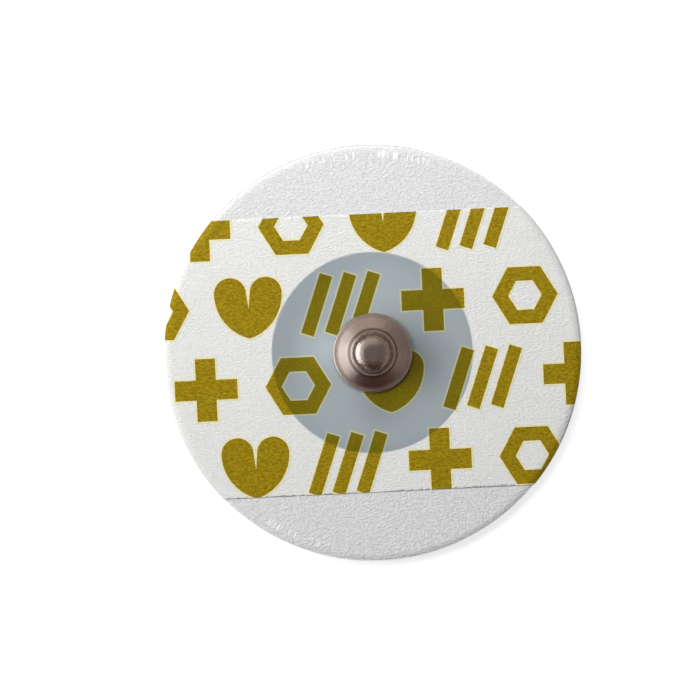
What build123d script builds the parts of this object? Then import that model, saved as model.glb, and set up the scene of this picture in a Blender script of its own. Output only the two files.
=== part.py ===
"""Foam monitoring electrode with a snap stud.

Millimetres. The origin is the middle of the skin face, +Z points away from the skin,
and +X runs to the right, nearly along the label.
"""

from math import radians, sqrt, tan
from build123d import *
import os

# Foam pad, and the adhesive under it
pad_radius = 24.0
foam_thickness = 1.0
adhesive_thickness = 0.08
window_radius = 11.6
rim_width = 0.5
rim_drop = 0.13

# Gel sponge in the window
gel_clearance = 0.1

# Label film, a strip that crosses the pad at a slight tilt
label_width = 32.0
label_thickness = 0.12
label_tilt = 2.7

# Snap stud, drawn from thin sheet
sheet = 0.25
head_radius = 2.05
dome_radius = 1.38
dome_rise = 0.12
crown_drop = 0.35
land_length = 0.6
undercut = 0.32
neck_length = 0.6
ledge_width = 0.92
shoulder_height = 0.6
shoulder_taper = 0.03
shoulder_round = 0.5
flange_width = 1.9
flange_rise = 0.38
rim_height = 0.42
rim_flat = 0.5
rim_roll = 0.3

# Sensor: a plate under the label, and a post caught in the stud's head
sensor_radius = 5.0
sensor_thickness = 0.5
sensor_edge = 0.2
sensor_clearance = 0.05
post_clearance = 0.05
tip_clearance = 0.12
tip_edge = 0.25
label_hole_clearance = 0.1

# Ink on the label: hearts, plus signs, slanted bars and hexagons in a brick layout
ink_thickness = 0.04
ink_clearance = 0.05
column_pitch = 10.6
row_pitch = 9.2
print_shift_x = 1.9
print_shift_y = -3.4
heart_width = 8.2
heart_depth = 5.4
plus_size = 7.6
plus_arm = 2.7
bar_length = 7.6
bar_width = 1.9
bar_pitch = 2.75
bar_slant = 70.0
hexagon_radius = 4.0
hexagon_bore = 1.7
speck_area = 1.0

# Heights above the skin face
foam_top = adhesive_thickness + foam_thickness
label_top = foam_top + label_thickness

label_plane = Plane.XY.rotated((0, 0, label_tilt))
flat_radius = pad_radius - rim_width


def pad_blank(top):
    """Disc from the skin face up to top, whose edge bends down where the die cut it."""
    bend = (rim_width**2 + rim_drop**2) / (2 * rim_drop) + top - foam_top
    edge_height = top - bend + sqrt(bend**2 - rim_width**2)
    with BuildPart() as blank:
        with BuildSketch(Plane.XZ):
            with BuildLine():
                Polyline((pad_radius, edge_height), (pad_radius, 0), (0, 0), (0, top), (flat_radius, top))
                TangentArc((flat_radius, top), (pad_radius, edge_height), tangent=(1, 0))
            make_face()
        revolve(axis=Axis.Z)
    return blank.part


foam_blank = pad_blank(foam_top)
label_blank = pad_blank(label_top)


# Skin adhesive, coated on the foam's underside
with BuildPart() as skin_adhesive:
    with BuildSketch():
        Circle(pad_radius)
        Circle(window_radius, mode=Mode.SUBTRACT)
    extrude(amount=adhesive_thickness)
skin_adhesive.part.label = "skin_adhesive"


# Foam pad, with the window that holds the gel
with BuildPart() as foam_pad:
    add(foam_blank)
    with BuildSketch():
        Circle(pad_radius)
    extrude(amount=adhesive_thickness, mode=Mode.SUBTRACT)
    with Locations((0, 0, foam_top)):
        Hole(window_radius)
foam_pad.part.label = "foam_pad"


# Snap stud. Its outside has rounded corners, and its hollow is the same line with plain
# corners, set inwards by the sheet's thickness. The open foot is trimmed at the label.
# The head is a shallow dome whose crown curves over to the land that a lead grips.
rim_top = label_top + rim_height
shoulder_foot = rim_top + flange_rise
shoulder_top = shoulder_foot + shoulder_height
neck_top = shoulder_top + neck_length
land_foot = neck_top + undercut
land_top = land_foot + land_length
neck_radius = head_radius - undercut
ledge_radius = neck_radius + ledge_width
crease_radius = ledge_radius + shoulder_taper
flange_radius = crease_radius + flange_width
dome_foot = land_top + crown_drop
stud_top = dome_foot + dome_rise

stud_corners = [
    (head_radius, land_top),
    (head_radius, land_foot),
    (neck_radius, neck_top),
    (neck_radius, shoulder_top),
    (ledge_radius, shoulder_top),
    (crease_radius, shoulder_foot),
    (flange_radius - rim_flat, rim_top),
    (flange_radius, rim_top),
    (flange_radius, label_top - sheet),
    (0, label_top - sheet),
]

with BuildPart() as snap_stud:
    with BuildSketch(Plane.XZ):
        with BuildLine():
            dome = TangentArc((0, stud_top), (dome_radius, dome_foot), tangent=(1, 0))
            crown = TangentArc(dome @ 1, stud_corners[0], tangent=dome % 1)
            FilletPolyline(*stud_corners, radius=[0, 0, 0, shoulder_round, 0, 0, rim_roll, 0])
            mirror(about=Plane.YZ)
        make_face()
        with BuildLine():
            add([dome, crown])
            Polyline(*stud_corners)
            mirror(about=Plane.YZ)
        hollow = make_face(mode=Mode.PRIVATE)
        offset(hollow, amount=-sheet, kind=Kind.INTERSECTION, mode=Mode.SUBTRACT)
        with Locations((0, label_top)):
            Rectangle(flange_radius, stud_top, align=Align.MIN, mode=Mode.INTERSECT)
    revolve(axis=Axis.Z)
snap_stud.part.label = "snap_stud"


# Sensor, whose post goes up through the label and flares inside the stud's head
plate_foot = foam_top - sensor_thickness
post_radius = neck_radius - sheet - post_clearance
flare_radius = head_radius - sheet - tip_clearance
flare_foot = neck_top + (sheet + post_clearance) * tan(radians(45) / 2)
flare_top = flare_foot + flare_radius - post_radius
tip_top = dome_foot - sheet - tip_clearance

with BuildPart() as sensor_eyelet:
    with BuildSketch(Plane.XZ):
        with BuildLine():
            Polyline(
                (0, plate_foot),
                (sensor_radius, plate_foot),
                (sensor_radius, foam_top),
                (post_radius, foam_top),
                (post_radius, flare_foot),
                (flare_radius, flare_top),
                (flare_radius, tip_top),
                (0, tip_top),
                close=True,
            )
        make_face()
    revolve(axis=Axis.Z)
    rims = sensor_eyelet.edges().filter_by(GeomType.CIRCLE).sort_by(Axis.Z)
    chamfer(rims[0], sensor_edge)
    chamfer(rims[-1], tip_edge)
sensor_eyelet.part.label = "sensor_eyelet"


# Gel sponge, recessed for the sensor's plate
with BuildPart() as gel_pad:
    with BuildSketch():
        Circle(window_radius - gel_clearance)
    extrude(amount=foam_top)
    with Locations((0, 0, foam_top)):
        Hole(sensor_radius + sensor_clearance, depth=sensor_thickness)
gel_pad.part.label = "gel_pad"


# Label film, trimmed by the same die as the foam
with BuildPart() as label_film:
    add(label_blank)
    add(foam_blank, mode=Mode.SUBTRACT)
    with BuildSketch(label_plane):
        Rectangle(2 * pad_radius, label_width)
        Circle(post_radius + label_hole_clearance, mode=Mode.SUBTRACT)
    extrude(amount=label_top, mode=Mode.INTERSECT)
label_film.part.label = "label_film"


# Ink, in motifs that end at the strip's edges and where the film bends down
with BuildSketch(mode=Mode.PRIVATE) as heart:
    lobe = heart_width / 4
    with Locations((0, heart_depth / 2 - lobe / 2)):
        with BuildLine():
            CenterArc((lobe, 0), lobe, 0, 180)
            TangentArc((2 * lobe, 0), (0, -heart_depth), tangent=(0, -1))
            mirror(about=Plane.YZ)
        make_face()

with BuildSketch(mode=Mode.PRIVATE) as plus:
    Rectangle(plus_size, plus_arm)
    Rectangle(plus_arm, plus_size)

with BuildSketch(mode=Mode.PRIVATE) as bars:
    with GridLocations(bar_pitch, 0, 3, 1):
        Rectangle(bar_length, bar_width, rotation=bar_slant)

with BuildSketch(mode=Mode.PRIVATE) as hexagon:
    RegularPolygon(hexagon_radius, 6)
    RegularPolygon(hexagon_bore, 6, mode=Mode.SUBTRACT)

motifs = [heart.sketch, bars.sketch, plus.sketch, hexagon.sketch]
columns = int(pad_radius // column_pitch) + 1
rows = int(label_width / 2 // row_pitch) + 1

with BuildPart() as label_print:
    with BuildSketch(label_plane.offset(label_top)) as motif_faces:
        for row in range(-rows, rows + 1):
            for column in range(-columns, columns + 1):
                brick = row % 2 / 2
                x = print_shift_x + (column + brick) * column_pitch
                y = print_shift_y + row * row_pitch
                with Locations((x, y)):
                    add(motifs[(column + 2 * row) % len(motifs)])
        Rectangle(2 * flat_radius, label_width, mode=Mode.INTERSECT)
        Circle(flat_radius, mode=Mode.INTERSECT)
        Circle(flange_radius + ink_clearance, mode=Mode.SUBTRACT)
        specks = motif_faces.faces().filter_by(lambda face: face.area < speck_area)
        add(specks, mode=Mode.SUBTRACT)
    extrude(amount=ink_thickness)
label_print.part.label = "label_print"


os.makedirs("parts", exist_ok=True)
for piece in (skin_adhesive, foam_pad, gel_pad, sensor_eyelet, label_film, label_print, snap_stud):
    export_step(piece.part, f"parts/{piece.part.label}.step")
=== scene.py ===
"""Looks of the foam monitoring electrode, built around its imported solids. Metres, +Z away from the skin."""

import math

import bmesh
import bpy
from mathutils import Matrix, Vector, noise


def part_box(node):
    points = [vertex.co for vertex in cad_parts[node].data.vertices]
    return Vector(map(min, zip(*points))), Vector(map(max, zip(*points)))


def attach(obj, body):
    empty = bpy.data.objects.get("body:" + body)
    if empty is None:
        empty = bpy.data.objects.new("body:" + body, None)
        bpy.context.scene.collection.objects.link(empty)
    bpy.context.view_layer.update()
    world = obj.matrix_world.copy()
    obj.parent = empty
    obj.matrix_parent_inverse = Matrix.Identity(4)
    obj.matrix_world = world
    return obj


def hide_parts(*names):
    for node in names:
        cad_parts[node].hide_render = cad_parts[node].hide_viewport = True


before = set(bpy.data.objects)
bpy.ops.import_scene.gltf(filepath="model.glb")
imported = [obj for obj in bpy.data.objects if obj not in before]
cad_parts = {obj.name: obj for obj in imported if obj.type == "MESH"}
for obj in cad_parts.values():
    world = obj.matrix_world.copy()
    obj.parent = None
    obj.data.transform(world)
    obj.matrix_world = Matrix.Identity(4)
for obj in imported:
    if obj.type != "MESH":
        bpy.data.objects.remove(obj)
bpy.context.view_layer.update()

MM = 0.001
UP = Vector((0, 0, 1))

# Sizes that the solids give
pad_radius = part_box("foam_pad")[1].x
foam_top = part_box("foam_pad")[1].z
adhesive_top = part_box("skin_adhesive")[1].z
label_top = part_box("label_film")[1].z
gel_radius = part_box("gel_pad")[1].x
plate_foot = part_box("sensor_eyelet")[0].z
plate_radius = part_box("sensor_eyelet")[1].x
stud_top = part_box("snap_stud")[1].z
flange_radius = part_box("snap_stud")[1].x

# Sizes that part.py names
window_radius = 11.6 * MM
label_width = 32.0 * MM
label_tilt = math.radians(2.7)
film_thickness = 0.12 * MM
film_hole = 1.53 * MM
plate_gap = 0.05 * MM

# The print's sizes, in millimetres as in part.py
heart_width, heart_depth = 8.2, 5.4
plus_size, plus_arm = 7.6, 2.7
bar_length, bar_width, bar_pitch = 7.6, 1.9, 2.75
bar_slant = math.radians(70)
hexagon_radius, hexagon_bore = 4.0, 1.7
column_pitch, row_pitch = 10.6, 9.2
print_shift_x, print_shift_y = 1.9, -3.4


# Mesh tools

def draw_section(bm, points, closed=True):
    """Draws the half section of a turned piece through points of radius and height in millimetres."""
    verts = [bm.verts.new((radius * MM, 0, height * MM)) for radius, height in points]
    edges = [bm.edges.new(ends) for ends in zip(verts, verts[1:])]
    if closed:
        edges.append(bm.edges.new((verts[-1], verts[0])))
    return verts, edges


def draw_arc(bm, vert, centre, angle, steps):
    """Draws a level arc from a vertex about a centre in millimetres, and returns its last vertex."""
    made = bmesh.ops.spin(
        bm, geom=[vert], cent=Vector(centre) * MM, axis=UP, angle=angle, steps=steps, use_merge=False,
    )
    return next(g for g in made["geom_last"] if isinstance(g, bmesh.types.BMVert))


def round_corner(bm, vert, reach):
    """Rounds a corner of a drawn line, from reach millimetres before it to as far behind it."""
    bmesh.ops.bevel(
        bm, geom=[vert], offset=reach * MM, offset_type="OFFSET", segments=8, profile=0.5,
        affect="VERTICES", material=-1,
    )


def divide(bm, edges, spacing):
    """Divides edges into runs no longer than spacing."""
    for edge in edges:
        cuts = int(edge.calc_length() / spacing)
        if cuts:
            bmesh.ops.subdivide_edges(bm, edges=[edge], cuts=cuts)


def turn(bm, steps):
    """Spins a drawn section about the stud's axis into a skin."""
    bmesh.ops.spin(
        bm, geom=bm.verts[:] + bm.edges[:], cent=(0, 0, 0), axis=UP, angle=2 * math.pi, steps=steps,
        use_merge=True,
    )
    bmesh.ops.remove_doubles(bm, verts=bm.verts, dist=1e-7)
    bmesh.ops.recalc_face_normals(bm, faces=bm.faces)


def cut(bm, point, normal, clear=False, merge=1e-8):
    """Cuts a mesh along a plane, and clears what lies beyond it if asked to."""
    bmesh.ops.bisect_plane(
        bm, geom=bm.verts[:] + bm.edges[:] + bm.faces[:], dist=merge, plane_co=point, plane_no=normal,
        clear_outer=clear,
    )


def face_up(bm):
    """Turns the faces of a flat sheet upwards."""
    bmesh.ops.recalc_face_normals(bm, faces=bm.faces)
    if bm.faces[:][0].normal.z < 0:
        bmesh.ops.reverse_faces(bm, faces=bm.faces)


def set_heights(bm, verts, height_at):
    """Lifts vertices to the height that a function gives for their place."""
    for vert in verts:
        vert.co.z = height_at(vert.co.x, vert.co.y)


def piece(bm, name, *materials):
    """Makes the finished mesh an object that rides on the pad."""
    mesh = bpy.data.meshes.new(name)
    bm.to_mesh(mesh)
    bm.free()
    for material in materials:
        mesh.materials.append(material)
    mesh.shade_smooth()
    made = bpy.data.objects.new(name, mesh)
    bpy.context.collection.objects.link(made)
    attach(made, "root")
    return made


# Shapes of the pad's faces

rim_reach = 0.9 * MM
rim_drop = 0.2 * MM
sink_depth = 0.05 * MM
sink_start = 5.5 * MM
sink_run = 4.0 * MM
crease_reach = 1.8 * MM
crease_fade = 1.0 * MM
creases_round = 28
headroom = 0.01 * MM


def clamp(value, high=1.0):
    """Keeps a value between nothing and high."""
    return min(max(value, 0.0), high)


def strip_side(x, y):
    """Distance outside the label strip, less than nothing inside it."""
    across = y * math.cos(label_tilt) - x * math.sin(label_tilt)
    return abs(across) - label_width / 2


def pressed_down(radius, above_foam):
    """How far the die has bent a face down, at a radius."""
    bend = (rim_reach**2 + rim_drop**2) / (2 * rim_drop) + above_foam
    out = clamp(radius - pad_radius + rim_reach, rim_reach)
    return bend - math.sqrt(bend**2 - out**2)


def rim_creases(x, y, radius):
    """Short folds that run in from the die-cut edge."""
    near = clamp((radius - pad_radius + crease_reach) / crease_fade)
    angle = math.atan2(y, x)
    round_x, round_y = creases_round * math.cos(angle), creases_round * math.sin(angle)
    return near * noise.noise((round_x, round_y, 0.4 * radius / MM))


def swell(x, y, size, layer):
    """Slow unevenness with lumps of the given size."""
    return noise.noise((x / size, y / size, layer))


def film_height(x, y):
    """Height of the label's face: highest under the stud, sunk into the foam, and bent down at the rim."""
    radius = math.hypot(x, y)
    share = clamp((radius - sink_start) / sink_run)
    sunk = (3 - 2 * share) * share**2 * sink_depth
    wave = swell(x, y, 2.2 * MM, 3.0) * 0.008 * MM
    fold = rim_creases(x, y, radius) * 0.01 * MM
    return label_top - pressed_down(radius, film_thickness) - sunk + wave + fold - headroom


def foam_height(x, y):
    """Height of the foam's face, held down by the label and pebbled beside it."""
    if strip_side(x, y) < -0.2 * MM:
        return film_height(x, y) - film_thickness
    radius = math.hypot(x, y)
    pebble = noise.fractal((x / (0.8 * MM), y / (0.8 * MM), 7.0), 0.7, 2.2, 3) * 0.004 * MM
    wave = swell(x, y, 4.5 * MM, 1.0) * 0.008 * MM
    fold = rim_creases(x, y, radius) * 0.02 * MM
    return foam_top - pressed_down(radius, 0) + pebble + wave + fold - headroom


# Shader nodes

def add_node(tree, kind, inputs, **settings):
    """Adds a node. Its inputs, by name or number, are linked to sockets or set to values."""
    node = tree.nodes.new(f"ShaderNode{kind}")
    for name, setting in settings.items():
        setattr(node, name, setting)
    for key, value in inputs.items():
        if isinstance(value, bpy.types.NodeSocket):
            tree.links.new(value, node.inputs[key])
        else:
            node.inputs[key].default_value = value
    return node


def object_place(tree):
    """Place on the object, in metres."""
    return add_node(tree, "TexCoord", {}).outputs["Object"]


def math_node(tree, operation, *values):
    return add_node(tree, "Math", dict(enumerate(values)), operation=operation).outputs[0]


def vector_node(tree, operation, *vectors):
    return add_node(tree, "VectorMath", dict(enumerate(vectors)), operation=operation).outputs


def product(tree, result, *others):
    """Multiplies masks and numbers."""
    for other in others:
        result = math_node(tree, "MULTIPLY", result, other)
    return result


def ramp(tree, value, start, end, low=0.0, high=1.0):
    """Rises smoothly from low at start to high at end."""
    inputs = {"Value": value, "From Min": start, "From Max": end, "To Min": low, "To Max": high}
    return add_node(tree, "MapRange", inputs, interpolation_type="SMOOTHSTEP").outputs["Result"]


def noise_node(tree, vector, scale, detail=2.0, roughness=0.5):
    inputs = {"Vector": vector, "Scale": scale, "Detail": detail, "Roughness": roughness}
    return add_node(tree, "TexNoise", inputs).outputs["Fac"]


def mix_colours(tree, factor, first, second, blend="MIX"):
    """Mixes two colours, each a socket or three numbers."""
    inputs = {0: factor}
    for key, colour in ((6, first), (7, second)):
        inputs[key] = colour if isinstance(colour, bpy.types.NodeSocket) else (*colour, 1)
    return add_node(tree, "Mix", inputs, data_type="RGBA", blend_type=blend).outputs[2]


def new_group(name, inputs, outputs):
    """A shader group. A socket has a name and a kind, and an input has its first value too."""
    tree = bpy.data.node_groups.new(name, "ShaderNodeTree")
    for label, kind, value in inputs:
        socket = tree.interface.new_socket(label, in_out="INPUT", socket_type=f"NodeSocket{kind}")
        socket.default_value = value
    for label, kind in outputs:
        tree.interface.new_socket(label, in_out="OUTPUT", socket_type=f"NodeSocket{kind}")
    return tree, tree.nodes.new("NodeGroupInput").outputs, tree.nodes.new("NodeGroupOutput").inputs


def use_group(tree, group, inputs=None):
    """Places a group in a material or in another group."""
    return add_node(tree, "Group", inputs or {}, node_tree=group)


def build_disc_group():
    """Mask that is 1 inside a circle on the pad, with an edge of the given softness."""
    tree, given, out = new_group(
        "disc_mask",
        [("Centre", "Vector", (0, 0, 0)), ("Radius", "Float", 0.01), ("Softness", "Float", 0.0001)],
        [("Mask", "Float")],
    )
    away = vector_node(tree, "SUBTRACT", object_place(tree), given["Centre"])[0]
    flat = vector_node(tree, "MULTIPLY", away, (1, 1, 0))[0]
    length = vector_node(tree, "LENGTH", flat)["Value"]
    start = math_node(tree, "SUBTRACT", given["Radius"], given["Softness"])
    end = math_node(tree, "ADD", given["Radius"], given["Softness"])
    tree.links.new(ramp(tree, length, start, end, 1.0, 0.0), out["Mask"])
    return tree


def build_relief_group():
    """Fine relief: two sizes of noise, which may be stretched, and a slow cloud for colour."""
    tree, given, out = new_group(
        "fine_relief",
        [("Size", "Float", 0.0004), ("Stretch", "Vector", (1, 1, 1)), ("Cloud Size", "Float", 0.004)],
        [("Height", "Float"), ("Cloud", "Float")],
    )
    place = object_place(tree)
    stretched = vector_node(tree, "MULTIPLY", place, given["Stretch"])[0]
    scale = math_node(tree, "DIVIDE", 1.0, given["Size"])
    coarse = noise_node(tree, stretched, scale, roughness=0.55)
    fine = noise_node(tree, stretched, product(tree, scale, 3.1), detail=1.0)
    tree.links.new(math_node(tree, "ADD", coarse, product(tree, fine, 0.35)), out["Height"])
    slow = math_node(tree, "DIVIDE", 1.0, given["Cloud Size"])
    tree.links.new(noise_node(tree, place, slow), out["Cloud"])
    return tree


def build_polar_group():
    """Distance from the stud's axis, the bearing about it in radians, and the height."""
    tree, _, out = new_group(
        "about_the_axis", [], [("Radius", "Float"), ("Bearing", "Float"), ("Height", "Float")],
    )
    x, y, height = add_node(tree, "SeparateXYZ", {0: object_place(tree)}).outputs
    square = math_node(tree, "MULTIPLY_ADD", y, y, product(tree, x, x))
    tree.links.new(math_node(tree, "SQRT", square), out["Radius"])
    tree.links.new(math_node(tree, "ARCTAN2", y, x), out["Bearing"])
    tree.links.new(height, out["Height"])
    return tree


disc_group = build_disc_group()
relief_group = build_relief_group()
polar_group = build_polar_group()

# Painted light and shade on the gel: x, y, radius and softness in millimetres, and how bright it is painted
# there
# Lighter left of the stud is painted light, darker right of it and below it is the stud's painted shadow, and
# the faint lighter ones are painted light too
painted_light_on_gel = (
    (-4.5, -7.0, 2.5, 3.6, 1.02),
    (1.0, 7.0, 2.0, 5.5, 1.07),
    (-5.4, 0.4, 0.8, 3.6, 1.46),
    (3.6, -0.3, 3.0, 4.6, 0.52),
    (1.0, -6.3, 1.2, 3.2, 0.79),
)


def build_window_group():
    """Mask of the gel's window, and painted light and shade on the gel: painted shade at its left edge, the
    stud's painted shadow right of and below it, painted light left of it.
    """
    tree, _, out = new_group("gel_window", [], [("Mask", "Float"), ("Shade", "Color")])

    def disc(x, y, radius, softness):
        inputs = {"Centre": (x * MM, y * MM, 0), "Radius": radius * MM, "Softness": softness * MM}
        return use_group(tree, disc_group, inputs).outputs["Mask"]

    # Painted shade: darker towards the window's edge, most at its left
    shade = mix_colours(tree, disc(1.3, -0.3, 10.3, 1.1), (0.87, 0.88, 0.9), (0.98, 0.98, 0.98))
    for x, y, radius, softness, shine in painted_light_on_gel:
        shade = mix_colours(tree, disc(x, y, radius, softness), shade, (shine, shine, shine))
    tree.links.new(shade, out["Shade"])
    tree.links.new(disc(0, 0, 11.55, 0.15), out["Mask"])
    return tree


window_group = build_window_group()


# Materials

def new_material(name, roughness, specular=0.5):
    """A material, its node tree, and the inputs of its shader."""
    made = bpy.data.materials.new(name)
    made.use_nodes = True
    shader = made.node_tree.nodes["Principled BSDF"].inputs
    shader["Roughness"].default_value = roughness
    shader["Specular IOR Level"].default_value = specular
    return made, made.node_tree, shader


def relief(tree, size, cloud, stretch=(1, 1, 1)):
    """Fine relief and a slow cloud, with their sizes in millimetres."""
    inputs = {"Size": size * MM, "Stretch": stretch, "Cloud Size": cloud * MM}
    return use_group(tree, relief_group, inputs).outputs


def bump(tree, height, depth, normal=None):
    """Adds relief to a normal, with its depth in millimetres."""
    inputs = {"Height": height, "Distance": depth * MM}
    if normal is not None:
        inputs["Normal"] = normal
    return add_node(tree, "Bump", inputs).outputs["Normal"]


def clouded(tree, cloud, first, second):
    """Drifts slowly between two colours."""
    return mix_colours(tree, ramp(tree, cloud, 0.3, 0.7), first, second)


def seen_over_gel(tree, over_foam, over_gel):
    """Colour of something thin on the pad: one colour over foam, another over the gel's window, darkened and
    lightened there by the gel's painted shade and light.
    """
    window = use_group(tree, window_group).outputs
    shaded = mix_colours(tree, 1.0, over_gel, window["Shade"], "MULTIPLY")
    return mix_colours(tree, window["Mask"], over_foam, shaded), window["Mask"]


# Stretches of the rim where the foam is wrinkled: bearing of the middle, spread to each side, strength
wrinkled_stretches = ((91.5, 22.0, 1.0), (-112.0, 14.0, 0.6))


def rim_wrinkles(tree, place):
    """Row of short radial wrinkles where the die pinched the foam, at the top and at the lower left."""
    radius, bearing = place["Radius"], place["Bearing"]
    stroke_pitch = {"X": product(tree, bearing, 95.0), "Y": product(tree, radius, 0.5 / MM)}
    spot = add_node(tree, "CombineXYZ", stroke_pitch).outputs[0]
    strokes = ramp(tree, noise_node(tree, spot, 1.0, detail=0.0), 0.53, 0.72)
    inner = ramp(tree, radius, 22.2 * MM, 22.6 * MM)
    outer = ramp(tree, radius, 22.95 * MM, 23.3 * MM, 1.0, 0.0)
    stretches = []
    for middle, spread, strength in wrinkled_stretches:
        away = math_node(tree, "ABSOLUTE", math_node(tree, "SUBTRACT", bearing, math.radians(middle)))
        stretches.append(ramp(tree, away, math.radians(spread * 0.6), math.radians(spread), strength, 0.0))
    return product(tree, inner, outer, strokes, math_node(tree, "MAXIMUM", *stretches))


def make_foam():
    made, tree, shader = new_material("closed_cell_foam", 0.6, 0.35)
    pebble = relief(tree, 0.34, 5.0, (0.9, 1.1, 1))
    cells = relief(tree, 0.16, 1.2)
    place = use_group(tree, polar_group).outputs
    wrinkles = rim_wrinkles(tree, place)
    shade = ramp(tree, pebble["Height"], 0.4, 0.95)
    colour = mix_colours(tree, shade, (0.505, 0.508, 0.512), (0.628, 0.626, 0.624))
    slow = product(tree, ramp(tree, pebble["Cloud"], 0.3, 0.7), 0.5)
    colour = mix_colours(tree, slow, colour, (0.562, 0.567, 0.573))
    # Painted highlight: the foam is made lighter towards its die-cut edge
    rim = ramp(tree, place["Radius"], 23.5 * MM, 23.9 * MM, 0.0, 0.5)
    colour = mix_colours(tree, rim, colour, (0.72, 0.72, 0.725))
    colour = mix_colours(tree, wrinkles, colour, (0.79, 0.78, 0.775))
    tree.links.new(colour, shader["Base Color"])
    normal = bump(tree, pebble["Height"], 0.085)
    normal = bump(tree, cells["Height"], 0.065, normal)
    tree.links.new(bump(tree, wrinkles, 0.03, normal), shader["Normal"])
    return made


def make_film():
    """Satin white film, smoother and blue-grey over the gel."""
    made, tree, shader = new_material("label_film", 0.42, 0.45)
    weave = relief(tree, 0.22, 7.0, (0.7, 1.1, 1))
    white = clouded(tree, weave["Cloud"], (0.625, 0.625, 0.605), (0.64, 0.64, 0.625))
    grain = ramp(tree, weave["Height"], 0.45, 0.9, 0.0, 0.8)
    white = mix_colours(tree, grain, white, (0.54, 0.54, 0.53))
    # Over the gel's window the film takes the gel's colour with its painted light and shade
    colour, window = seen_over_gel(tree, white, (0.268, 0.303, 0.317))
    tree.links.new(colour, shader["Base Color"])
    height = product(tree, weave["Height"], ramp(tree, window, 0.0, 1.0, 1.0, 0.3))
    tree.links.new(bump(tree, height, 0.07), shader["Normal"])
    return made


def make_ink(name, dark, light, dulled):
    """Ink on the film: mottled where foam lies beneath it, smoother and duller over the gel."""
    made, tree, shader = new_material(name, 0.5, 0.25)
    mottle = relief(tree, 0.24, 6.0, (0.6, 1.1, 1))
    over_foam = mix_colours(tree, ramp(tree, mottle["Height"], 0.42, 0.92), dark, light)
    middle = [(a + b) / 2 for a, b in zip(dark, light)]
    over_gel = mix_colours(tree, 0.5, over_foam, middle)
    over_gel = mix_colours(tree, 1.0, over_gel, dulled, "MULTIPLY")
    colour, window = seen_over_gel(tree, over_foam, over_gel)
    tree.links.new(colour, shader["Base Color"])
    height = product(tree, mottle["Height"], ramp(tree, window, 0.0, 1.0, 1.0, 0.35))
    tree.links.new(bump(tree, height, 0.06), shader["Normal"])
    return made


def make_gel():
    """Moist blue-grey gel sponge, darker where the sensor's plate lies behind it."""
    made, tree, shader = new_material("gel_sponge", 0.22, 0.5)
    pores = relief(tree, 0.5, 3.0)
    plate = use_group(tree, disc_group, {"Radius": plate_radius, "Softness": 0.5 * MM}).outputs["Mask"]
    shade = ramp(tree, pores["Height"], 0.4, 0.95)
    colour = mix_colours(tree, shade, (0.24, 0.29, 0.33), (0.38, 0.43, 0.47))
    colour = mix_colours(tree, product(tree, plate, 0.55), colour, (0.16, 0.165, 0.17))
    tree.links.new(colour, shader["Base Color"])
    tree.links.new(bump(tree, pores["Height"], 0.12), shader["Normal"])
    shader["Coat Weight"].default_value = 0.6
    shader["Coat Roughness"].default_value = 0.08
    return made


def make_adhesive():
    made, tree, shader = new_material("skin_adhesive", 0.3, 0.5)
    pebble = relief(tree, 0.6, 5.0)
    colour = clouded(tree, pebble["Cloud"], (0.72, 0.7, 0.64), (0.76, 0.745, 0.7))
    tree.links.new(colour, shader["Base Color"])
    tree.links.new(bump(tree, pebble["Height"], 0.03), shader["Normal"])
    shader["Coat Weight"].default_value = 0.5
    shader["Coat Roughness"].default_value = 0.12
    return made


def make_silver_chloride():
    made, tree, shader = new_material("silver_chloride", 0.45, 0.4)
    grain = relief(tree, 0.25, 2.0)
    colour = clouded(tree, grain["Cloud"], (0.2, 0.19, 0.195), (0.27, 0.26, 0.265))
    tree.links.new(colour, shader["Base Color"])
    tree.links.new(bump(tree, grain["Height"], 0.02), shader["Normal"])
    return made


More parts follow.
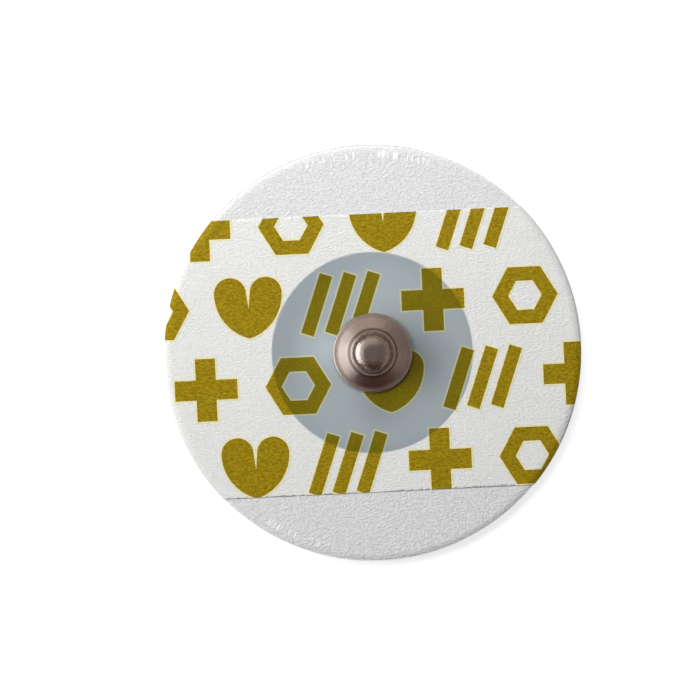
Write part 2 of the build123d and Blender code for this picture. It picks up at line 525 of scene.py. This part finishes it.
def make_nickel():
    """Nickel plate: satin and ringed by its drawing on the flange, brighter on the rubbed head."""
    made, tree, shader = new_material("nickel_plate", 0.25)
    shader["Metallic"].default_value = 1.0
    place = use_group(tree, polar_group).outputs
    grime = relief(tree, 1.3, 1.6)
    dents = relief(tree, 0.3, 1.6)
    rings_inputs = {"W": place["Radius"], "Scale": 2600, "Detail": 3}
    rings = add_node(tree, "TexNoise", rings_inputs, noise_dimensions="1D").outputs["Fac"]

    def from_axis(start, end, low=0.0, high=1.0):
        return ramp(tree, place["Radius"], start * MM, end * MM, low, high)

    def from_skin(start, end, low=0.0, high=1.0):
        return ramp(tree, place["Height"], start * MM, end * MM, low, high)

    # Bright plate, with the streaks that drawing left below the head
    drawn = product(tree, rings, from_skin(2.9, 3.3, 1.0, 0.0))
    cloud = ramp(tree, grime["Cloud"], 0.35, 0.7)
    colour = mix_colours(tree, cloud, (0.8, 0.735, 0.695), (0.71, 0.65, 0.615))
    streak = ramp(tree, drawn, 0.4, 0.65, 0.0, 0.35)
    colour = mix_colours(tree, streak, colour, (0.61, 0.55, 0.515))

    # Dirt and painted shade under the head and at the foot, with dark specks of painted shade on the ledge
    dirt_and_shade_under_head = product(tree, from_skin(3.4, 3.6, 1.0, 0.0), from_axis(2.6, 2.9, 1.0, 0.0))
    dirt_and_shade = math_node(tree, "MAXIMUM", dirt_and_shade_under_head, from_skin(1.25, 1.5, 1.0, 0.0))
    colour = mix_colours(tree, dirt_and_shade, colour, (0.6, 0.515, 0.465))
    # Painted shade: dark specks in the gap under the head
    painted_shade_specks = ramp(tree, dents["Height"], 0.5, 0.85, 0.0, 0.6)
    painted_shade_specks = product(tree, painted_shade_specks, from_axis(2.3, 2.5, 1.0, 0.0), dirt_and_shade_under_head)
    colour = mix_colours(tree, painted_shade_specks, colour, (0.2, 0.155, 0.13))

    # Dark lines: dirt and painted shade in the crease at the shoulder's foot, painted shade round the head's
    # edge
    crease = product(tree, from_axis(2.58, 2.66), from_axis(2.78, 2.92, 1.0, 0.0))
    crease = product(tree, crease, from_skin(2.3, 2.5, 0.75, 0.0))
    colour = mix_colours(tree, crease, colour, (0.2, 0.16, 0.135))
    # Painted shade: a dark band round the head's edge, over the lit film mirrored there
    painted_shade_brim = product(tree, from_skin(4.0, 4.05), from_skin(4.17, 4.23, 1.0, 0.0))
    colour = mix_colours(tree, painted_shade_brim, colour, (0.16, 0.12, 0.1))
    tree.links.new(colour, shader["Base Color"])

    # Roughest where dirt and painted shade lie, and on the rim
    rough = math_node(tree, "MULTIPLY_ADD", grime["Height"], 0.06, from_skin(2.8, 3.5, 0.13, 0.07))
    rough = math_node(tree, "MULTIPLY_ADD", dirt_and_shade, 0.16, rough)
    rough = math_node(tree, "MULTIPLY_ADD", from_axis(3.9, 4.3), 0.16, rough)
    tree.links.new(rough, shader["Roughness"])

    # Drawing rings, dents where a lead's socket rubs the crown, and slow waves
    crown = product(tree, from_axis(1.2, 1.6), from_skin(3.9, 4.05))
    normal = bump(tree, drawn, 0.012)
    normal = bump(tree, product(tree, crown, dents["Height"]), 0.03, normal)
    tree.links.new(bump(tree, grime["Height"], 0.015, normal), shader["Normal"])
    return made


foam = make_foam()
film = make_film()
olive_ink = make_ink("olive_ink", (0.16, 0.107, 0.0), (0.295, 0.206, 0.004), (0.61, 0.69, 0.72))
pale_keyline = make_ink("pale_keyline", (0.58, 0.54, 0.31), (0.66, 0.62, 0.42), (0.6, 0.66, 0.72))
gel = make_gel()
adhesive = make_adhesive()
silver_chloride = make_silver_chloride()
nickel = make_nickel()


# Foam, adhesive, gel and film

waist_depth = 0.05
edge_depth = 0.1 * MM
edge_trim = 0.06 * MM
coat_setback, coat_taper = 0.06, 0.04
pore_depth = 0.03 * MM
gel_edge = 0.8 * MM
gel_edge_rise = 0.12 * MM
film_gap = 0.005 * MM


def make_foam_pad():
    """Foam ring with a bent rim, whose cut side is slightly waisted and uneven."""
    bm = bmesh.new()
    inner, outer = window_radius / MM, pad_radius / MM
    low, high = adhesive_top / MM, foam_top / MM
    waist = (outer - waist_depth, (low + high) / 2)
    _, edges = draw_section(bm, [(inner, low), (inner, high), (outer, high), waist, (outer, low)])
    divide(bm, edges[:-1], 0.2 * MM)
    divide(bm, edges[-1:], 1.0 * MM)
    turn(bm, 840)
    set_heights(bm, [vert for vert in bm.verts if vert.co.z > foam_top - 1e-6], foam_height)
    for vert in bm.verts:
        radius = math.hypot(vert.co.x, vert.co.y)
        if radius > pad_radius - edge_depth:
            ragged = noise.fractal(vert.co / (0.8 * MM), 0.7, 2.2, 2) * 0.03 * MM
            wave = noise.noise(vert.co / (6 * MM)) * 0.05 * MM
            share = (radius + ragged + wave - edge_trim) / radius
            vert.co.x *= share
            vert.co.y *= share
    made = piece(bm, "foam_pad_cut", foam)
    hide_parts("foam_pad")


def make_adhesive_coat():
    """Adhesive ring, slightly short of the foam's edge and uneven on the skin's side."""
    bm = bmesh.new()
    inner, high = window_radius / MM, adhesive_top / MM
    outer = pad_radius / MM - coat_setback
    draw_section(bm, [(inner, 0), (inner, high), (outer, high), (outer - coat_taper, 0)])
    divide(bm, bm.edges[:], 0.4 * MM)
    turn(bm, 320)
    for vert in bm.verts:
        if vert.co.z < 1e-6:
            vert.co.z = (0.5 + 0.5 * noise.noise(vert.co / (1.3 * MM))) * 0.015 * MM
    made = piece(bm, "adhesive_coat", adhesive)
    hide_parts("skin_adhesive")


def make_gel_sponge():
    """Gel disc with a recess for the sensor's plate, porous and rounded on the skin's side."""
    bm = bmesh.new()
    outer, recess = gel_radius / MM, (plate_radius + plate_gap) / MM
    high, step = foam_top / MM, plate_foot / MM
    section = [(0, 0), (outer, 0), (outer, high), (recess, high), (recess, step), (0, step)]
    draw_section(bm, section, closed=False)
    divide(bm, bm.edges[:], 0.28 * MM)
    turn(bm, 256)
    for vert in bm.verts:
        if vert.co.z < 1e-6:
            radius = math.hypot(vert.co.x, vert.co.y)
            pore = noise.fractal(vert.co / (0.7 * MM), 0.7, 2.2, 3)
            edge = min((gel_radius - radius) / gel_edge, 1.0)
            vert.co.z = (1 + pore) * pore_depth + (1 - edge) ** 2 * gel_edge_rise
        if vert.co.z > foam_top - 1e-6:
            vert.co.z = film_height(vert.co.x, vert.co.y) - film_thickness
    made = piece(bm, "gel_sponge", gel)
    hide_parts("gel_pad")


def make_label_film():
    """Film strip with a hole for the sensor's post, a little thinner than its gap over the foam."""
    bm = bmesh.new()
    draw_section(bm, [(film_hole / MM, 0), (pad_radius / MM, 0)], closed=False)
    divide(bm, bm.edges[:], 0.26 * MM)
    turn(bm, 400)
    for side in (-1, 1):
        across = Vector((-math.sin(label_tilt), math.cos(label_tilt), 0)) * side
        cut(bm, across * label_width / 2, across, clear=True, merge=1e-7)
    face_up(bm)
    set_heights(bm, bm.verts, film_height)
    bmesh.ops.solidify(bm, geom=bm.faces[:], thickness=film_thickness - film_gap)
    made = piece(bm, "label_film_strip", film)
    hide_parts("label_film")


# Print

keyline_width = 0.2 * MM
ink_height = 0.012 * MM
ink_reach = pad_radius - 0.04 * MM
ink_grid = 0.3 * MM
least_area = 1.0 * MM**2
pad_facets = 240


def heart_face(bm):
    """Half the heart is drawn clockwise from its notch, then mirrored."""
    lobe = heart_width / 4
    up = heart_depth / 2 - lobe / 2
    bend = (4 * lobe**2 + heart_depth**2) / (4 * lobe)
    notch = bm.verts.new((0, up * MM, 0))
    side = draw_arc(bm, notch, (lobe, up, 0), -math.pi, 14)
    draw_arc(bm, side, (2 * lobe - bend, up, 0), -math.asin(heart_depth / bend), 12)
    half = bm.verts[:] + bm.edges[:]
    bmesh.ops.mirror(bm, geom=half, matrix=Matrix.Identity(4), merge_dist=1e-6, axis="X")
    bmesh.ops.remove_doubles(bm, verts=bm.verts, dist=1e-6)
    bmesh.ops.contextual_create(bm, geom=bm.edges[:])


def plus_face(bm):
    """A square, with an arm pulled out of each side."""
    arm, reach = plus_arm / 2 * MM, plus_size / 2 * MM
    bmesh.ops.create_grid(bm, x_segments=1, y_segments=1, size=arm)
    for edge in bm.edges[:]:
        out = (edge.verts[0].co + edge.verts[1].co).normalized() * (reach - arm)
        made = bmesh.ops.extrude_edge_only(bm, edges=[edge])
        tip = [g for g in made["geom"] if isinstance(g, bmesh.types.BMVert)]
        bmesh.ops.translate(bm, verts=tip, vec=out)


def bars_face(bm):
    """Three slanted bars side by side."""
    for step in (-1, 0, 1):
        place = Matrix.Translation((step * bar_pitch * MM, 0, 0)) @ Matrix.Rotation(bar_slant, 4, "Z")
        size = Matrix.Diagonal((bar_length / 2 * MM, bar_width / 2 * MM, 1, 1))
        bmesh.ops.create_grid(bm, x_segments=1, y_segments=1, size=1, matrix=place @ size)


def hexagon_face(bm):
    """A hexagon whose middle is taken out."""
    turned = Matrix.Rotation(math.radians(90), 4, "Z")
    bmesh.ops.create_circle(bm, cap_ends=True, segments=6, radius=hexagon_radius * MM, matrix=turned)
    wall = (hexagon_radius - hexagon_bore) * math.cos(math.radians(30)) * MM
    bmesh.ops.inset_region(bm, faces=bm.faces[:], thickness=wall, use_boundary=True, use_even_offset=True)
    middle = min(bm.faces, key=lambda face: face.calc_center_median().length)
    bmesh.ops.delete(bm, geom=[middle], context="FACES")


def make_motif(draw, x, y):
    """One motif on the strip: its keyline set in from its edge, cut where strip and pad end."""
    bm = bmesh.new()
    draw(bm)
    face_up(bm)
    rim = bmesh.ops.inset_region(
        bm, faces=bm.faces[:], thickness=keyline_width, use_boundary=True, use_even_offset=True,
    )
    for face in rim["faces"]:
        face.material_index = 1
    bmesh.ops.translate(bm, verts=bm.verts, vec=(x, y, 0))
    for side in (-1, 1):
        cut(bm, (0, side * label_width / 2, 0), (0, side, 0), clear=True)
    if bm.faces and max(vert.co.length for vert in bm.verts) > ink_reach:
        bearing = math.atan2(y, x)
        for k in range(pad_facets):
            angle = 2 * math.pi * k / pad_facets
            if math.cos(angle - bearing) > 0.8:
                out = Vector((math.cos(angle), math.sin(angle), 0))
                cut(bm, out * ink_reach, out, clear=True)
    return bm


def make_label_print():
    """Motifs in a brick layout, laid on the film's face."""
    whole = bmesh.new()
    mesh = bpy.data.meshes.new("motif")
    draws = [heart_face, bars_face, plus_face, hexagon_face]
    for row in range(-2, 3):
        for column in range(-3, 4):
            x = print_shift_x + (column + row % 2 / 2) * column_pitch
            y = print_shift_y + row * row_pitch
            bm = make_motif(draws[(column + 2 * row) % len(draws)], x * MM, y * MM)
            if sum(face.calc_area() for face in bm.faces) > least_area:
                bm.to_mesh(mesh)
                whole.from_mesh(mesh)
            bm.free()
    bpy.data.meshes.remove(mesh)
    steps = int(pad_radius / ink_grid)
    for axis in (Vector((1, 0, 0)), Vector((0, 1, 0))):
        for k in range(-steps, steps + 1):
            cut(whole, axis * k * ink_grid, axis)
    under_stud = flange_radius - 0.7 * MM
    hidden = [face for face in whole.faces if face.calc_center_median().length < under_stud]
    bmesh.ops.delete(whole, geom=hidden, context="FACES")
    tilt = Matrix.Rotation(label_tilt, 3, "Z")
    bmesh.ops.rotate(whole, verts=whole.verts, cent=(0, 0, 0), matrix=tilt)
    set_heights(whole, whole.verts, lambda x, y: film_height(x, y) + ink_height)
    bmesh.ops.solidify(whole, geom=whole.faces[:], thickness=ink_height)
    made = piece(whole, "label_print_motifs", olive_ink, pale_keyline)
    made.data.shade_flat()
    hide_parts("label_print")


# Snap stud

def make_stud():
    """The drawn shell: its outer line from the top down, round the foot, and its inner line up again."""
    sheet, dome, rim_flat = 0.25, 1.38, 0.5
    head, neck, ledge, crease, flange = 2.05, 1.73, 2.65, 2.68, flange_radius / MM
    dome_rise, crown_drop, undercut, neck_length = 0.1, 0.37, 0.32, 0.6
    shoulder_height, flange_rise, rim_height = 0.6, 0.38, 0.42
    foot, top = label_top / MM, stud_top / MM
    rim_top = foot + rim_height
    shoulder_foot = rim_top + flange_rise
    shoulder_top = shoulder_foot + shoulder_height
    neck_top = shoulder_top + neck_length
    land_foot = neck_top + undercut
    dome_foot = top - dome_rise
    land_top = dome_foot - crown_drop
    bead = flange - rim_flat

    # The head's face falls slowly, then quickly at its edge
    steps = 32
    shares = [k / steps for k in range(steps)]
    face = [(share * head, top - dome_rise * share**2 - crown_drop * share**5) for share in shares]

    # Each corner has a radius, a height, and how far it is rounded
    corners = [
        (head, land_top, 0.05),
        (head, land_foot, 0.05),
        (neck, neck_top, 0.05),
        (neck, shoulder_top, 0.14),
        (ledge, shoulder_top, 0.44),
        (crease, shoulder_foot, 0.04),
        (bead, rim_top, 0.26),
        (flange, rim_top - 0.04, 0.22),
        (flange, foot, 0.03),
        (flange - sheet, foot, 0.03),
        (flange - sheet, rim_top - sheet, 0.1),
        (bead - 0.03, rim_top - sheet, 0.04),
        (crease - sheet, shoulder_foot - 0.19, 0.05),
        (ledge - sheet, shoulder_top - sheet, 0.2),
        (neck - sheet, shoulder_top - sheet, 0.1),
        (neck - sheet, neck_top + 0.1, 0.05),
        (head - sheet, land_foot + 0.1, 0.05),
        (head - sheet, land_top - 0.1, 0.1),
        (dome, dome_foot - sheet, 0.1),
    ]
    bm = bmesh.new()
    section = face + [(radius, height) for radius, height, reach in corners] + [(0, top - sheet)]
    verts, _ = draw_section(bm, section, closed=False)
    for vert, (radius, height, reach) in zip(verts[len(face):], corners):
        round_corner(bm, vert, reach)
    divide(bm, bm.edges[:], 0.12 * MM)
    turn(bm, 224)
    made = piece(bm, "snap_stud_shell", nickel)
    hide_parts("snap_stud")


make_foam_pad()
make_adhesive_coat()
make_gel_sponge()
make_label_film()
make_label_print()
make_stud()

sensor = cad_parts["sensor_eyelet"]
sensor.data.materials.clear()
sensor.data.materials.append(silver_chloride)


# Floor, light and camera

def make_floor():
    """A plain floor that shines by itself, so that it stays white."""
    bm = bmesh.new()
    bmesh.ops.create_grid(bm, x_segments=2, y_segments=2, size=3.0)
    mesh = bpy.data.meshes.new("floor")
    bm.to_mesh(mesh)
    bm.free()
    floor = bpy.data.objects.new("floor", mesh)
    bpy.context.collection.objects.link(floor)
    made, _, shader = new_material("floor_white", 0.9, 0.0)
    shader["Base Color"].default_value = (0.4, 0.4, 0.4, 1)
    shader["Emission Color"].default_value = (1, 1, 1, 1)
    shader["Emission Strength"].default_value = 0.72
    mesh.materials.append(made)


def softbox(name, direction, distance, size, power):
    """A soft lamp that faces the pad. The metal mirrors the room instead."""
    light = bpy.data.lights.new(name, "AREA")
    light.shape = "RECTANGLE"
    light.size, light.size_y = size
    light.energy = power
    light.color = (1, 0.99, 0.98)
    lamp = bpy.data.objects.new(name, light)
    towards = Vector(direction).normalized()
    lamp.location = towards * distance
    lamp.rotation_euler = towards.to_track_quat("Z", "Y").to_euler()
    lamp.visible_glossy = False
    lamp.visible_camera = False
    bpy.context.collection.objects.link(lamp)


# The room's walls, each laid over those before it. Bearings run clockwise from the picture's right and
# slants from overhead; then come the angles from there at which a wall starts and is full, in degrees.
walls = (
    (250, 36, 34, 8, (0.44, 0.365, 0.315)),
    (84, 42, 38, 12, (0.06, 0.031, 0.023)),
    (179, 49, 41, 14, (1.03, 0.94, 0.91)),
    (181, 68, 42, 20, (1.4, 1.36, 1.34)),
    (80, 80, 26, 14, (0.03, 0.02, 0.015)),
)


def make_room():
    """Soft white light all round; only mirror-like metal sees the room's warmer walls."""
    world = bpy.data.worlds.new("room")
    bpy.context.scene.world = world
    world.use_nodes = True
    tree = world.node_tree
    place = add_node(tree, "TexCoord", {}).outputs["Generated"]

    def near(bearing, slant, start, full):
        """1 towards a place on the walls, and 0 far from it."""
        turned, leaned = math.radians(bearing), math.radians(slant)
        out = math.sin(leaned)
        towards = (out * math.cos(turned), -out * math.sin(turned), math.cos(leaned))
        facing = vector_node(tree, "DOT_PRODUCT", place, towards)["Value"]
        return ramp(tree, facing, math.cos(math.radians(start)), math.cos(math.radians(full)))

    colour = mix_colours(tree, near(0, 0, 40, 5), (0.215, 0.165, 0.136), (0.15, 0.121, 0.11))
    for bearing, slant, start, full, shine in walls:
        colour = mix_colours(tree, near(bearing, slant, start, full), colour, shine)
    ray = add_node(tree, "LightPath", {}).outputs
    colour = mix_colours(tree, ray["Is Glossy Ray"], (0.152, 0.162, 0.178), colour)
    colour = mix_colours(tree, ray["Is Camera Ray"], colour, (1, 1, 1))
    tree.links.new(colour, tree.nodes["Background"].inputs["Color"])


make_floor()
make_room()
softbox("window", direction=(-0.85, 0.22, 0.47), distance=0.5, size=(0.3, 0.36), power=3.5)
softbox("lamp", direction=(-0.02, 0.13, 0.115), distance=0.1747, size=(0.12, 0.12), power=0.29)

# The pad lies right of and below the picture's middle, by these pixels
camera_height = 0.26
picture_pixels = 700
pixels_per_mm = 8.70
pad_right, pad_down = 22.6, 2.8
lens = bpy.data.cameras.new("camera")
lens.sensor_width = 36
lens.lens = lens.sensor_width * camera_height / (picture_pixels / pixels_per_mm * MM)
lens.clip_start = 0.01
camera = bpy.data.objects.new("camera", lens)
camera.location = (-pad_right / pixels_per_mm * MM, pad_down / pixels_per_mm * MM, camera_height + foam_top)
bpy.context.collection.objects.link(camera)
bpy.context.scene.camera = camera
bpy.context.scene.view_settings.view_transform = "Standard"

bpy.context.view_layer.update()
